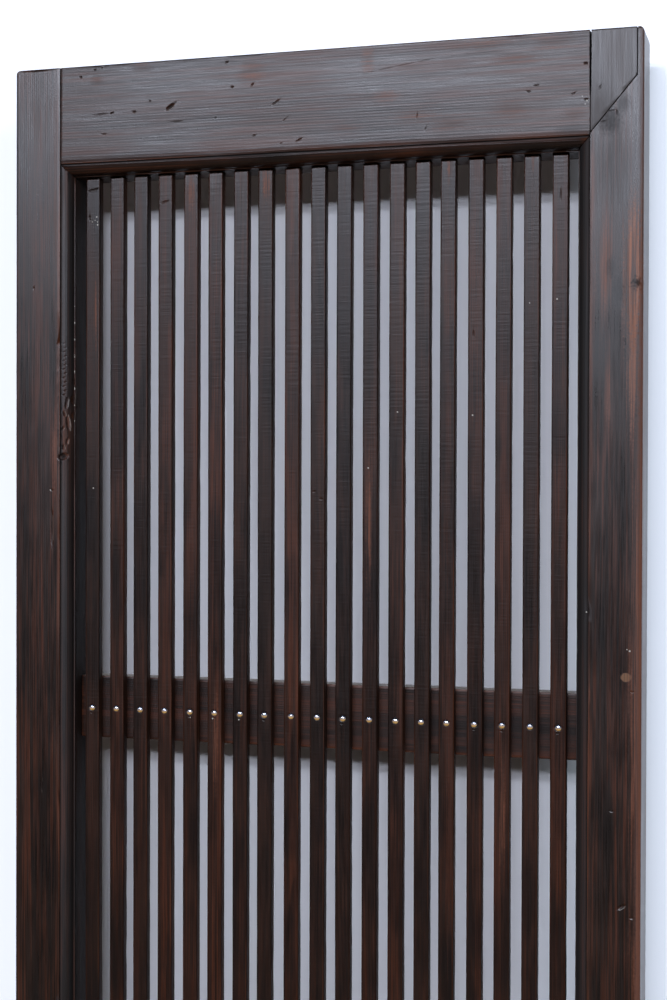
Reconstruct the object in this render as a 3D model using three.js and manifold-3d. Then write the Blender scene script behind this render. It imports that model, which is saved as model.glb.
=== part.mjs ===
// Lattice door: the leaf of an old timber door, stained dark brown.
// Two full-height stiles and two rails make the frame. Thin upright slats fill it,
// nailed to mid rails that run behind them.
// Millimetres, +Z up. The front faces -Y and the origin is the middle of the underside.

import * as THREE from 'three';
import { mergeVertices } from 'three/addons/utils/BufferGeometryUtils.js';
import Module from 'manifold-3d';

const wasm = await Module();
wasm.setup();

// Leaf
const doorWidth = 600;
const doorHeight = 1770;
const doorThickness = 48;

// Frame, each member measured with its moulding
const stileWidth = 58;
const topRailHeight = 104;
const bottomRailHeight = 104;
const arrisChamfer = 1;
const topCornerRadius = 5;
const bottomCornerRadius = 3;
const cornerSegments = 4;

// Moulding along the inner front edges: a small step, a quarter round and a thin fillet
const mouldingWidth = 11.5;
const mouldingDepth = 10;
const quirkDepth = 1.3;
const filletWidth = 0.9;
const mouldingSegments = 7;

// Slats, in front of the mid rails
const slatCount = 19;
const slatWidth = 14.5;
const slatThickness = 9;
const slatSetback = 16;
const slatEdgeGap = 9;
const slatChamfer = 0.8;

// How far each slat stands to the right of its even place, nailed by eye
const slatDrift = [-0.5, -0.5, -1, -1, 0, -0.5, 0, -1, 0.5, 0.5, 0.5, 0.5, 0.5, -0.5, -2, -1.5, -1, -1, -0.5];

// Mid rails, spaced so that the lattice has equal bays
const midRailNames = ['mid_rail_upper', 'mid_rail_lower'];
const midRailHeight = 60;
const midRailThickness = 22;

// Blind tenons
const railTenonLength = 34;
const railTenonThickness = 16;
const railTenonShoulder = 16;
const midTenonLength = 22;
const midTenonThickness = 12;
const midTenonShoulder = 8;
const jointGap = 0.3;

// Repair let into the top of the right stile, beside the rail's shoulder
const patchOuterStrip = 6;
const patchOuterHeight = 42;
const patchInnerHeight = 90;
const patchDepth = 12;

// Domed nail heads, one through each slat into the upper mid rail
const nailHeadRadius = 2.7;
const nailHeadHeight = 1.7;
const nailRimHeight = 0.4;
const nailSides = 12;
const nailRings = 4;

// Places worked out from the sizes
const frontY = -doorThickness / 2;
const backY = doorThickness / 2;
const stileFace = stileWidth - mouldingWidth;
const shoulderX = doorWidth / 2 - stileFace;
const openingX = doorWidth / 2 - stileWidth;
const openingTop = doorHeight - topRailHeight;
const openingBottom = bottomRailHeight;
const slatFrontY = frontY + slatSetback;
const slatBackY = slatFrontY + slatThickness;
const bayHeight = (openingTop - openingBottom - midRailNames.length * midRailHeight) / (midRailNames.length + 1);
const slatPitch = (2 * openingX - 2 * slatEdgeGap - slatWidth) / (slatCount - 1);
const cutMargin = 10;

const darkWood = new THREE.MeshStandardMaterial({ color: 0x3a2f2b, roughness: 0.42, metalness: 0 });
const slatWood = new THREE.MeshStandardMaterial({ color: 0x352725, roughness: 0.45, metalness: 0 });
const patchWood = new THREE.MeshStandardMaterial({ color: 0x554e4f, roughness: 0.5, metalness: 0 });
const nailMetal = new THREE.MeshStandardMaterial({ color: 0xa9adb3, roughness: 0.25, metalness: 1 });

const door = new THREE.Group();

// Geometry to solid and back

function solidFrom(geometry) {
  geometry.deleteAttribute('normal');
  geometry.deleteAttribute('uv');
  const merged = mergeVertices(geometry);
  const vertProperties = new Float32Array(merged.attributes.position.array);
  const triVerts = new Uint32Array(merged.index.array);
  return new wasm.Manifold(new wasm.Mesh({ numProp: 3, vertProperties, triVerts }));
}

function addPiece(name, solid, material) {
  const result = solid.getMesh();
  const geometry = new THREE.BufferGeometry();
  geometry.setAttribute('position', new THREE.BufferAttribute(result.vertProperties, 3));
  geometry.setIndex(new THREE.BufferAttribute(result.triVerts, 1));
  geometry.computeVertexNormals();
  const mesh = new THREE.Mesh(geometry, material);
  mesh.name = name;
  door.add(mesh);
}

// A closed outline pushed out along one axis. The outline's own two axes become the
// world axes across and up, and it is pushed from the plane "start" by "length".

function prism(outline, across, up, along, start, length) {
  const shape = new THREE.Shape(outline.map(([a, b]) => new THREE.Vector2(a, b)));
  const geometry = new THREE.ExtrudeGeometry(shape, { depth: length, bevelEnabled: false });
  geometry.translate(0, 0, start);
  geometry.applyMatrix4(new THREE.Matrix4().makeBasis(across, up, along));
  return solidFrom(geometry);
}

const axisX = new THREE.Vector3(1, 0, 0);
const axisY = new THREE.Vector3(0, 1, 0);
const axisZ = new THREE.Vector3(0, 0, 1);
const towardFront = new THREE.Vector3(0, -1, 0);

// outline in (x, y), from one height to another
function uprightPrism(outline, bottom, top) {
  return prism(outline, axisX, axisY, axisZ, bottom, top - bottom);
}

// outline in (y, z), between two sideways places
function sidewaysPrism(outline, left, right) {
  return prism(outline, axisY, axisZ, axisX, left, right - left);
}

// outline in (x, z), between two depths behind the front face
function frontPrism(outline, nearDepth, farDepth) {
  return prism(outline, axisX, axisZ, towardFront, -frontY - farDepth, farDepth - nearDepth);
}

function block(left, right, nearDepth, farDepth, bottom, top) {
  return frontPrism([[left, bottom], [right, bottom], [right, top], [left, top]], nearDepth, farDepth);
}

// Points of a quarter turn from one direction to the next, about a centre
function arcPoints(centreA, centreB, radiusA, radiusB, startAngle, segments) {
  const points = [];
  for (let i = 0; i <= segments; i += 1) {
    const angle = startAngle + (i / segments) * (Math.PI / 2);
    points.push([centreA + radiusA * Math.cos(angle), centreB + radiusB * Math.sin(angle)]);
  }
  return points;
}

// Section of a frame member, as [distance in from its outer edge, depth behind the face].
// The outer edge and the back are eased, and the inner front edge carries the moulding.
function memberSection(width) {
  const face = width - mouldingWidth;
  const roundWidth = mouldingWidth - filletWidth;
  const roundDepth = mouldingDepth - quirkDepth;
  const round = arcPoints(face, mouldingDepth, roundWidth, roundDepth, -Math.PI / 2, mouldingSegments);
  return [
    [0, arrisChamfer],
    [arrisChamfer, 0],
    [face, 0],
    ...round,
    [width, mouldingDepth],
    [width, doorThickness - arrisChamfer],
    [width - arrisChamfer, doorThickness],
    [arrisChamfer, doorThickness],
    [0, doorThickness - arrisChamfer],
  ];
}

// Front outline of a stile, as [distance in from its outer edge, height]. Its moulded strip
// stops in a mitre at each rail, and its outer corners are worn round.
function stileOutline() {
  const top = arcPoints(topCornerRadius, doorHeight - topCornerRadius, topCornerRadius, topCornerRadius,
    Math.PI / 2, cornerSegments);
  const bottom = arcPoints(bottomCornerRadius, bottomCornerRadius, bottomCornerRadius, bottomCornerRadius,
    Math.PI, cornerSegments);
  return [
    [stileFace, 0],
    [stileFace, bottomRailHeight - mouldingWidth],
    [stileWidth, bottomRailHeight],
    [stileWidth, doorHeight - topRailHeight],
    [stileFace, doorHeight - topRailHeight + mouldingWidth],
    [stileFace, doorHeight],
    ...top,
    ...bottom,
  ];
}

// Side view of the whole leaf, with the arrises at both ends eased
const leafSide = [
  [frontY, arrisChamfer],
  [frontY + arrisChamfer, 0],
  [backY - arrisChamfer, 0],
  [backY, arrisChamfer],
  [backY, doorHeight - arrisChamfer],
  [backY - arrisChamfer, doorHeight],
  [frontY + arrisChamfer, doorHeight],
  [frontY, doorHeight - arrisChamfer],
];

function leafEnvelope() {
  return sidewaysPrism(leafSide, -doorWidth / 2 - cutMargin, doorWidth / 2 + cutMargin);
}

// Tenons. A rail and its tenons are one piece, and the mortises take them with a small gap.

const railTenonNear = (doorThickness - railTenonThickness) / 2;
const railTenons = [
  { bottom: openingTop + mouldingWidth + railTenonShoulder, top: doorHeight - railTenonShoulder },
  { bottom: railTenonShoulder, top: openingBottom - mouldingWidth - railTenonShoulder },
].map((tenon) => ({
  ...tenon,
  near: railTenonNear,
  far: railTenonNear + railTenonThickness,
  reach: shoulderX + railTenonLength,
}));

const midRailNear = slatSetback + slatThickness;
const midTenonNear = midRailNear + (midRailThickness - midTenonThickness) / 2;
const midRails = midRailNames.map((name, i) => {
  const top = openingTop - (i + 1) * bayHeight - i * midRailHeight;
  const bottom = top - midRailHeight;
  const tenon = {
    bottom: bottom + midTenonShoulder,
    top: top - midTenonShoulder,
    near: midTenonNear,
    far: midTenonNear + midTenonThickness,
    reach: openingX + midTenonLength,
  };
  return { name, top, bottom, tenon };
});

function tenonBar({ reach, near, far, bottom, top }, gap) {
  return block(-reach - gap, reach + gap, near - gap, far + gap, bottom - gap, top + gap);
}

// Repair patch: front outline on the right stile, widened by a gap where it meets the stile
function patchOutline(gap) {
  const outerX = doorWidth / 2 - patchOuterStrip + gap;
  const innerX = shoulderX - (gap > 0 ? cutMargin : 0);
  const topZ = doorHeight + (gap > 0 ? cutMargin : 0);
  const slope = (patchInnerHeight - patchOuterHeight) / (stileFace - patchOuterStrip);
  const drop = gap * Math.hypot(1, slope);
  const seamHeight = (x) => doorHeight - patchInnerHeight - drop + slope * (x - shoulderX);
  return [[innerX, topZ], [innerX, seamHeight(innerX)], [outerX, seamHeight(outerX)], [outerX, topZ]];
}

function makeStile(side) {
  const place = (distance) => side * (doorWidth / 2 - distance);
  const section = memberSection(stileWidth).map(([distance, depth]) => [place(distance), frontY + depth]);
  const outline = stileOutline().map(([distance, height]) => [place(distance), height]);
  let stile = uprightPrism(section, 0, doorHeight);
  stile = stile.intersect(frontPrism(outline, -cutMargin, doorThickness + cutMargin));
  stile = stile.intersect(leafEnvelope());
  for (const tenon of [...railTenons, ...midRails.map((rail) => rail.tenon)]) {
    stile = stile.subtract(tenonBar(tenon, jointGap));
  }
  return stile;
}

// A rail's own edge is its outer one: at the top for the top rail, at the bottom for the other
function makeRail(height, heightOf, tenon) {
  const shoulder = shoulderX - jointGap;
  const toe = openingX - jointGap;
  const section = memberSection(height).map(([distance, depth]) => [frontY + depth, heightOf(distance)]);
  const outline = [
    [-shoulder, 0],
    [-shoulder, height - mouldingWidth],
    [-toe, height],
    [toe, height],
    [shoulder, height - mouldingWidth],
    [shoulder, 0],
  ].map(([x, distance]) => [x, heightOf(distance)]);
  const bar = sidewaysPrism(section, -shoulder, shoulder);
  const mitred = bar.intersect(frontPrism(outline, -cutMargin, doorThickness + cutMargin));
  return mitred.add(tenonBar(tenon, 0));
}

function makeMidRail({ top, bottom, tenon }) {
  const near = frontY + midRailNear;
  const far = near + midRailThickness;
  const section = [
    [near, bottom],
    [far - arrisChamfer, bottom],
    [far, bottom + arrisChamfer],
    [far, top - arrisChamfer],
    [far - arrisChamfer, top],
    [near, top],
  ];
  const bar = sidewaysPrism(section, -openingX + jointGap, openingX - jointGap);
  return bar.add(tenonBar(tenon, 0));
}

// A slat has its two front arrises eased and stands flat against the mid rails
function makeSlat(left) {
  const right = left + slatWidth;
  const section = [
    [left, slatFrontY + slatChamfer],
    [left + slatChamfer, slatFrontY],
    [right - slatChamfer, slatFrontY],
    [right, slatFrontY + slatChamfer],
    [right, slatBackY],
    [left, slatBackY],
  ];
  return uprightPrism(section, openingBottom, openingTop);
}

// A low rim and a dome on it, turned about the nail's own axis, with a flat back on the slat
function makeNailHead(x, z) {
  const domeHeight = nailHeadHeight - nailRimHeight;
  const profile = [new THREE.Vector2(0, 0), new THREE.Vector2(nailHeadRadius, 0)];
  for (let i = 0; i <= nailRings; i += 1) {
    const angle = (i / nailRings) * (Math.PI / 2);
    const radius = i === nailRings ? 0 : nailHeadRadius * Math.cos(angle);
    profile.push(new THREE.Vector2(radius, nailRimHeight + domeHeight * Math.sin(angle)));
  }
  const geometry = new THREE.LatheGeometry(profile, nailSides);
  geometry.rotateX(Math.PI);
  geometry.translate(x, slatFrontY, z);
  return solidFrom(geometry);
}

// Frame

const [topTenon, bottomTenon] = railTenons;
addPiece('left_stile', makeStile(-1), darkWood);
const patchPocket = frontPrism(patchOutline(jointGap), -cutMargin, patchDepth + jointGap);
addPiece('right_stile', makeStile(1).subtract(patchPocket), darkWood);
const patch = frontPrism(patchOutline(0), 0, patchDepth).intersect(leafEnvelope());
addPiece('right_stile_patch', patch, patchWood);
addPiece('top_rail', makeRail(topRailHeight, (distance) => doorHeight - distance, topTenon), darkWood);
addPiece('bottom_rail', makeRail(bottomRailHeight, (distance) => distance, bottomTenon), darkWood);
for (const rail of midRails) {
  addPiece(rail.name, makeMidRail(rail), darkWood);
}

// Lattice

for (let i = 0; i < slatCount; i += 1) {
  const number = String(i + 1).padStart(2, '0');
  const left = -openingX + slatEdgeGap + i * slatPitch + (slatDrift[i] ?? 0);
  const nailX = left + slatWidth / 2;
  const nailZ = (midRails[0].top + midRails[0].bottom) / 2;
  addPiece(`slat_${number}`, makeSlat(left), slatWood);
  addPiece(`nail_${number}`, makeNailHead(nailX, nailZ), nailMetal);
}

export default door;
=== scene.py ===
import math
from collections import namedtuple

import bmesh
import bpy
from bpy.props import FloatProperty, FloatVectorProperty, PointerProperty
from mathutils import Matrix, Vector, noise


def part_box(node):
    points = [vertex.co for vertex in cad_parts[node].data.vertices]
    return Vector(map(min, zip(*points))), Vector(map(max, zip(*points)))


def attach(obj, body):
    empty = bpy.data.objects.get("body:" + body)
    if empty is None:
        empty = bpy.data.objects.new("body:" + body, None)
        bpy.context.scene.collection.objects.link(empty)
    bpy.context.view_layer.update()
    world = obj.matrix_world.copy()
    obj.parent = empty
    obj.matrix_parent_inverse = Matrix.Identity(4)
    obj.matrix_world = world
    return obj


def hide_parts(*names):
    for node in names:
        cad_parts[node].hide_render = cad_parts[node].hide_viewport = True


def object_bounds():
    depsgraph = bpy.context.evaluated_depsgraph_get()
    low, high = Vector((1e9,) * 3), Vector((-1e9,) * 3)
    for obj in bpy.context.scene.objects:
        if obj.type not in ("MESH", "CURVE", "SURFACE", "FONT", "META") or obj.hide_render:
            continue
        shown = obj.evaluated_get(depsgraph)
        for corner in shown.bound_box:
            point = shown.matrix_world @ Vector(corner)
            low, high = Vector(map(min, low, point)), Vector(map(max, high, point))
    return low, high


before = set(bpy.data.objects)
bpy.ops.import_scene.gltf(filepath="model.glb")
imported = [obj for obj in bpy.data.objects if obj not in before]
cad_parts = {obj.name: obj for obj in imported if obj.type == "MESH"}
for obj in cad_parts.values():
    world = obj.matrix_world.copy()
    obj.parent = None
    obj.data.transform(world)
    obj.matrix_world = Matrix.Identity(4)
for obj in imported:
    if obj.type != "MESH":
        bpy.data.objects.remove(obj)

bl_info = {
    "name": "Lattice Door",
    "version": (1, 0, 0),
    "blender": (4, 5, 0),
    "location": "View3D > Sidebar > Lattice Door",
    "description": "Dresses an old dark-stained timber lattice door: worn joinery, nails and finish",
    "category": "Object",
}

CAD_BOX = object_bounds()
MM = 0.001

# The leaf, read from the frame
LEAF_LOW, LEAF_HIGH = CAD_BOX
LEAF_TOP = LEAF_HIGH.z
FRONT_Y = LEAF_LOW.y
BACK_Y = LEAF_HIGH.y
HALF_WIDTH = LEAF_HIGH.x
PATCH_LOW, PATCH_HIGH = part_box("right_stile_patch")
SHOULDER_X = PATCH_LOW.x
STILE_INNER_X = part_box("right_stile")[0].x
RAIL_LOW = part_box("top_rail")[0]
BOTTOM_RAIL_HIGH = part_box("bottom_rail")[1]
SLAT_NAMES = sorted(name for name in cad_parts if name.startswith("slat_"))
SLAT_LOW, SLAT_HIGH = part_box(SLAT_NAMES[0])
MID_RAILS = ["mid_rail_upper", "mid_rail_lower"]

# Boxes round the joints that show, a little short of the leaf's top: the rails' shoulders and
# the outline of the repair
SEAM_TOP = LEAF_TOP - 2 * MM
SEAMS = [
    (Vector((x, FRONT_Y, low)), Vector((x, BACK_Y, high)))
    for x in (-SHOULDER_X, SHOULDER_X)
    for low, high in ((0.0, BOTTOM_RAIL_HIGH.z), (RAIL_LOW.z, SEAM_TOP))
]
SEAMS.append((PATCH_LOW, Vector((PATCH_HIGH.x, PATCH_HIGH.y, SEAM_TOP))))

# A dent, gouge or scratch: its middle in mm from the leaf's centre line and down from its top,
# its length, width and depth in mm, and its turn in degrees, counter-clockwise from the front.
# A mark of no depth only makes the mesh finer there.
Mark = namedtuple("Mark", "x below length width depth turn")

TOP_RAIL_MARKS = [
    Mark(-232, 10.6, 2.8, 1.7, 0.5, 10),
    Mark(-217, 4.6, 2.6, 1.2, 0.58, 0),
    Mark(-210, 3.2, 1.9, 1.2, 0.43, 20),
    Mark(-211, 46.9, 19, 0.9, 0.29, 2),
    Mark(-199.6, 46.4, 3.5, 1.7, 0.86, 15),
    Mark(-177, 46.7, 3.5, 1.9, 1.01, 0),
    Mark(-140.5, 44.2, 9.2, 3.5, 1.98, 35),
    Mark(-134, 58.3, 14.3, 0.9, 0.32, 0),
    Mark(-208, 66, 6.3, 1.1, 0.36, 0),
    Mark(-161, 37.3, 2.7, 1.2, 0.36, -20),
    Mark(-84, 6, 4, 1.5, 0.58, 10),
    Mark(-78.7, 29.3, 2.8, 1.7, 0.79, 0),
    Mark(-59, 28.7, 4.4, 1.4, 0.65, 45),
    Mark(-35.6, 45.9, 11.9, 1.3, 0.58, 33),
    Mark(-26.6, 62, 9.5, 0.9, 0.25, 35),
    Mark(-95, 57, 2.8, 1.1, 0.36, 10),
    Mark(-57, 75.5, 4, 1.2, 0.43, 10),
    Mark(-13.3, 82, 7.1, 1.4, 0.65, 28),
    Mark(-31, 84.5, 4, 0.9, 0.29, 20),
    Mark(98, 66, 7.1, 1.1, 0.36, 80),
    Mark(106, 78, 5.5, 0.9, 0.29, 60),
    Mark(206, 46, 4.8, 1.1, 0.43, 10),
    Mark(199, 51, 4, 1.2, 0.43, -10),
    Mark(239, 55, 5.5, 1.1, 0.36, 25),
    Mark(249.5, 29.5, 3.5, 2.5, 1.3, 0),
    Mark(250, 61, 3.5, 2.2, 0.58, 0),
    Mark(252, 29, 60, 4, 0, 90),
    Mark(82, 20.6, 88, 0.9, 0.1, 8),
    Mark(156, 14.5, 66, 0.9, 0.08, 0),
]
LEFT_STILE_MARKS = [
    Mark(-262, 404.7, 2.6, 2.2, 0.9, 0),
    Mark(-261.7, 441, 40, 2.3, 1.1, 91),
    Mark(-250.6, 372.5, 10, 7, 2.4, 20),
    Mark(-251, 345.5, 5, 2.4, 1.3, 60),
    Mark(-249.5, 331.5, 6, 2.6, 1.5, 110),
    Mark(-250.5, 363.5, 5, 3, 1.4, 100),
    Mark(-247.5, 321, 12, 3, 1.2, 84),
    Mark(-246.5, 340, 16, 3.4, 1.4, 96),
    Mark(-247, 358, 7, 2.6, 1.0, 80),
    Mark(-243.2, 318, 9, 2.6, 1.2, 90),
    Mark(-243.2, 333, 7, 2.2, 1.0, 90),
    Mark(-243, 300, 5, 1.8, 0.8, 90),
    Mark(-281, 210, 4, 1.2, 0.5, 70),
    Mark(-272, 690, 14, 1.2, 0.4, 88),
    Mark(-288, 1240, 5, 2.4, 0.8, 60),
    *[Mark(-250 + 1.2 * (i % 2), 264 + 4.1 * i, 3, 1.5, 0.2 + 0.05 * i, 20) for i in range(13)],
]
RIGHT_STILE_MARKS = [
    Mark(292.1, 578.3, 2.4, 1.6, 0.8, 0),
    Mark(283.5, 766.8, 7, 3.4, 1.2, 35),
    Mark(274.4, 683.2, 3, 2, 0.8, 0),
    Mark(292.2, 775.7, 3, 2.4, 0.9, 0),
    Mark(276.5, 74, 9, 0.9, 0.4, 90),
    Mark(272, 72, 9, 0.8, 0.3, 5),
    Mark(265, 81, 6, 0.9, 0.3, 10),
    Mark(268, 1115, 6, 2, 0.8, 80),
    Mark(294.5, 1480, 8, 2.2, 0.9, 86),
]
PATCH_MARKS = [
    Mark(254.5, 29, 60, 4, 0, 90),
    Mark(262, 51, 5, 2, 0.3, 60),
]
BOTTOM_RAIL_MARKS = [
    Mark(-150, 1722, 8, 2.6, 1.0, 20),
    Mark(40, 1740, 14, 1.4, 0.5, 4),
    Mark(188, 1712, 5, 3, 1.1, 0),
]
# Marks on slats, by the slat's number
SLAT_MARKS = {
    1: [Mark(-226, 115.5, 13, 1.8, 0.6, 12), Mark(-229.5, 142, 4, 2.2, 0.8, 90)],
    4: [Mark(-151.9, 130.2, 9, 1.6, 0.5, 15)],
    10: [Mark(4, 412, 3, 1.8, 0.6, 0), Mark(-3, 405, 3, 1.6, 0.5, 30)],
    14: [Mark(97, 960, 8, 1.8, 0.6, 75)],
    16: [Mark(147, 262, 7, 1.4, 0.5, 88)],
    19: [Mark(225.4, 140, 12, 1.2, 0.4, 88)],
}
# Painted glints: pale specks that stand for glints off chips and nibbled arrises, by node: middle as
# for a mark, and size in mm
PAINTED_GLINTS = {
    "left_stile": [(-263.3, 404.7, 1.2)]
    + [(-242.5, 212.0 + 11.0 * (i % 7) + 4.6 * i, 0.6 + 0.2 * (i % 3)) for i in range(19)],
    "right_stile": [(251.8, 509.6, 1.3), (289.8, 542.7, 1.7), (287.4, 541.5, 0.9)],
    "top_rail": [(250.5, 62.0, 1.6), (249.0, 65.0, 1.0), (246.5, 58.0, 0.9)],
    "slat_01": [(-226.8, 146.2, 0.9), (-224.0, 144.8, 0.8), (-222.3, 141.6, 1.1), (-221.3, 149.3, 1.4),
                (-221.5, 146.5, 1.0), (-225.2, 402.7, 1.2)],
    "slat_05": [(-125.0, 620.1, 1.1)],
    "slat_06": [(-102.7, 620.3, 1.4)],
    "slat_07": [(-76.2, 620.3, 1.2)],
    "slat_12": [(49.0, 383.2, 1.3)],
    "slat_13": [(76.8, 332.0, 1.2)],
    "slat_16": [(146.4, 335.5, 1.4)],
    "slat_18": [(198.0, 235.7, 1.0)],
    "slat_19": [(222.7, 232.8, 1.3)],
}
# Slats whose wood is bruised in a ring round the nail
BRUISED_SLATS = (1, 5, 6, 7, 8, 11, 16, 17, 19)

# Patches of redder wood on the top rail: middle x, mm below the top, half width, half height
# and how strongly they show
RED_PATCHES = [
    (-60, 16, 20, 17, 0.81),
    (-170, 6, 16, 7, 0.68),
    (-215, 14, 9, 8, 0.41),
    (52, 12, 9, 18, 1),
    (70, 47, 18, 8, 0.74),
    (95, 66, 30, 12, 0.81),
    (128, 74, 28, 10, 0.68),
    (182, 66, 23, 10, 0.88),
    (160, 7, 46, 6, 0.68),
    (222, 8, 30, 10, 0.94),
    (190, 22, 34, 7, 0.54),
    (30, 74, 25, 8, 0.47),
    (240, 72, 16, 8, 0.54),
]
# Streaks of thinner stain on slats: middle x, mm below the top, half width and half height
SLAT_STREAKS = [
    (-224.2, 235, 3, 48),
    (-125.5, 122, 5, 26),
    (-50, 116, 5, 22),
    (125.3, 108, 4, 24),
    (201, 100, 2.5, 24),
    (50, 440, 4, 90),
    (-100, 640, 4, 70),
    (175, 700, 4, 80),
    (-175, 1150, 4, 110),
    (75, 1320, 4, 90),
]

# A place on the wood where the finish differs: its middle as for a mark, half its width, depth
# and height in mm, softness and raggedness of its rim, how strongly its colour shows, the
# colour, how much rougher it is, and whether the streaks of the wood break it up
Spot = namedtuple("Spot", "x below wide deep high softness ragged strength colour dull grained")

STILE_SPOTS = [
    # the figure round the knot of the right stile, with dark stain beside it, and the knot
    Spot(291.5, 215, 13, 20, 85, 0.7, 1.0, 1.0, "orange_wood", 0.15, True),
    Spot(291, 295, 9, 20, 75, 0.9, 1.2, 0.55, "orange_wood", 0.1, True),
    Spot(266, 205, 11, 20, 60, 0.9, 0.8, 0.7, "bare_wood", 0.1, True),
    Spot(272, 320, 8, 20, 40, 0.9, 0.8, 0.6, "bare_wood", 0.06, True),
    Spot(278, 229, 8, 20, 22, 0.8, 1.3, 0.9, "stain_dark", 0.08, False),
    Spot(273, 208, 7, 20, 14, 0.8, 1.3, 0.7, "stain_dark", 0.05, False),
    Spot(263, 285, 11, 20, 45, 0.9, 1.2, 0.7, "stain_dark", 0.07, False),
    Spot(272, 120, 26, 20, 60, 1.0, 0.6, 0.3, "stain_dark", 0.09, False),
    Spot(294.8, 222.5, 7.5, 20, 7.5, 0.9, 2.6, 0.85, "stain_dark", 0.1, False),
    Spot(295.2, 222.5, 3.4, 20, 3.2, 0.6, 1.2, 0.8, "stain_dark", 0.12, False),
    # the filled hole below the knot
    Spot(286.6, 565.8, 5.2, 4, 4.4, 0.25, 0.35, 0.95, "filler", 0.2, False),
    # redder wood along the outer edge
    Spot(296, 590, 10, 20, 430, 0.9, 0.6, 0.95, "bare_wood", 0.06, True),
    # the stain round the repair's slanting end
    Spot(270, 80, 15, 6, 17, 0.8, 0.8, 0.8, "stain_dark", 0.14, False),
    Spot(282, 66, 9, 6, 12, 0.8, 0.8, 0.6, "stain_dark", 0.1, False),
    # rubbed and bruised wood beside and on the left stile's moulding
    Spot(-248, 348, 7, 20, 30, 0.5, 0.5, 1.0, "bare_wood", 0.12, True),
    Spot(-258, 368, 5, 6, 58, 0.9, 1.0, 0.65, "bare_wood", 0.05, True),
    Spot(-268, 330, 9, 20, 130, 0.9, 0.6, 0.45, "stain_red", 0.03, True),
    Spot(-258, 640, 5, 20, 60, 0.9, 0.6, 0.3, "bare_wood", 0.03, True),
    Spot(-258, 180, 4, 20, 90, 0.9, 0.6, 0.8, "bare_wood", 0.06, True),
    Spot(-279, 75, 5, 20, 70, 0.9, 0.8, 0.7, "bare_wood", 0.05, True),
    # the rubbed outer arris of the right stile
    Spot(299.5, 885, 5.5, 5, 1400, 0.8, 0.4, 0.8, "bare_wood", 0.35, False),
]
# The lower part of the repair shines less
PATCH_SPOTS = [Spot(262, 78, 24, 20, 46, 1.0, 0.5, 0.3, "patch_grey", 0.1, False)]
SLAT_SPOTS = [
    Spot(x, below, wide, 4, high, 0.9, 1.0, 0.9, "bare_wood", 0.08, True)
    for x, below, wide, high in SLAT_STREAKS
]
RAIL_SPOTS = [
    Spot(x, below, wide, 30, high, 0.95, 1.0, strength, "bare_wood", 0.07, True)
    for x, below, wide, high, strength in RED_PATCHES
]
RAIL_SPOTS.append(Spot(238, 88, 22, 30, 9, 0.9, 0.6, 0.5, "stain_dark", 0.08, False))

# How a piece's wood looks: the axis of its grain, the width of a growth ring in mm, how far the
# rings wander, how red its streaks are and how much pieces differ in that, how strong the
# streaks are, the strength of the bump and in it of saw marks and swells, how much rougher it is
# than the sheen, its specular level, how rubbed its arrises are, its spots, the depth of its
# front, and the stain over its early wood
WoodLook = namedtuple(
    "WoodLook",
    "grain ring wander red tone_spread contrast bump saw swell rougher specular rub spots front body")

WOOD_LOOKS = {
    "Stile Wood": WoodLook(
        grain="Z", ring=2.1, wander=0.016, red=0.75, tone_spread=0.0, contrast=0.85,
        bump=0.16, saw=0.2, swell=1.2, rougher=0.0, specular=0.34, rub=0.65,
        spots=STILE_SPOTS, front=FRONT_Y, body="stain_brown"),
    "Rail Wood": WoodLook(
        grain="X", ring=2.6, wander=0.022, red=0.75, tone_spread=0.0, contrast=0.6,
        bump=0.26, saw=0.0, swell=2.2, rougher=0.01, specular=0.32, rub=0.3,
        spots=RAIL_SPOTS, front=FRONT_Y, body="stain_brown"),
    "Mid Rail Wood": WoodLook(
        grain="X", ring=2.2, wander=0.012, red=0.95, tone_spread=0.0, contrast=0.6,
        bump=0.2, saw=0.0, swell=0.5, rougher=0.08, specular=0.25, rub=0.5,
        spots=[], front=FRONT_Y, body="stain_brown"),
    "Slat Wood": WoodLook(
        grain="Z", ring=1.7, wander=0.014, red=0.6, tone_spread=1.0, contrast=0.5,
        bump=0.2, saw=1.2, swell=0.6, rougher=0.03, specular=0.2, rub=0.4,
        spots=SLAT_SPOTS, front=SLAT_LOW.y, body="stain_brown"),
    "Patch Wood": WoodLook(
        grain="Z", ring=1.9, wander=0.006, red=0.15, tone_spread=0.0, contrast=0.3,
        bump=0.14, saw=0.3, swell=1.2, rougher=0.01, specular=0.3, rub=0.2,
        spots=PATCH_SPOTS, front=FRONT_Y, body="patch_grey"),
}

# Noises in the finish, in waves per metre across, through and along the grain
DRIFT_WAVES = (5.0, 5.0, 0.9)
RIPPLE_WAVES = (60.0, 60.0, 7.0)
RING_WAVES = (30.0, 30.0, 2.0)
BROAD_STREAK_WAVES = (190.0, 190.0, 5.0)
NARROW_STREAK_WAVES = (620.0, 620.0, 8.0)
CLOUD_WAVES = (34.0, 34.0, 8.0)
FIBRE_WAVES = (950.0, 950.0, 26.0)
SAW_WAVES = (22.0, 22.0, 480.0)
SWELL_WAVES = (105.0, 105.0, 9.0)
RIM_WAVES = (420.0, 420.0, 420.0)
FILM_WAVES = (900.0, 900.0, 900.0)

# The heart of the tree lies behind the board and leans a little, so rings cut in long curves
HEART_OFFSET = (0.021, -0.075, 0.0)
HEART_LEAN = (1.0, 1.0, 0.03)
RIPPLE_REACH = 0.0016
# Each piece is cut from another place in the noises
SEED_SHIFT = (0.37, 0.23, 1.91)
# How much red shows where streaks are smoothed away
EVEN_STREAK = 0.35
# How red the streaks are where the stain clouds over, and where it is thin
CLOUD_WARMTH = (0.45, 1.3)
# How far the streaks and the fibre let a grained spot through, at least and at most
STREAK_BREAK = (0.25, 1.2)
FIBRE_BREAK = (0.55, 1.15)
RING_SHADE = 0.4
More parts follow.
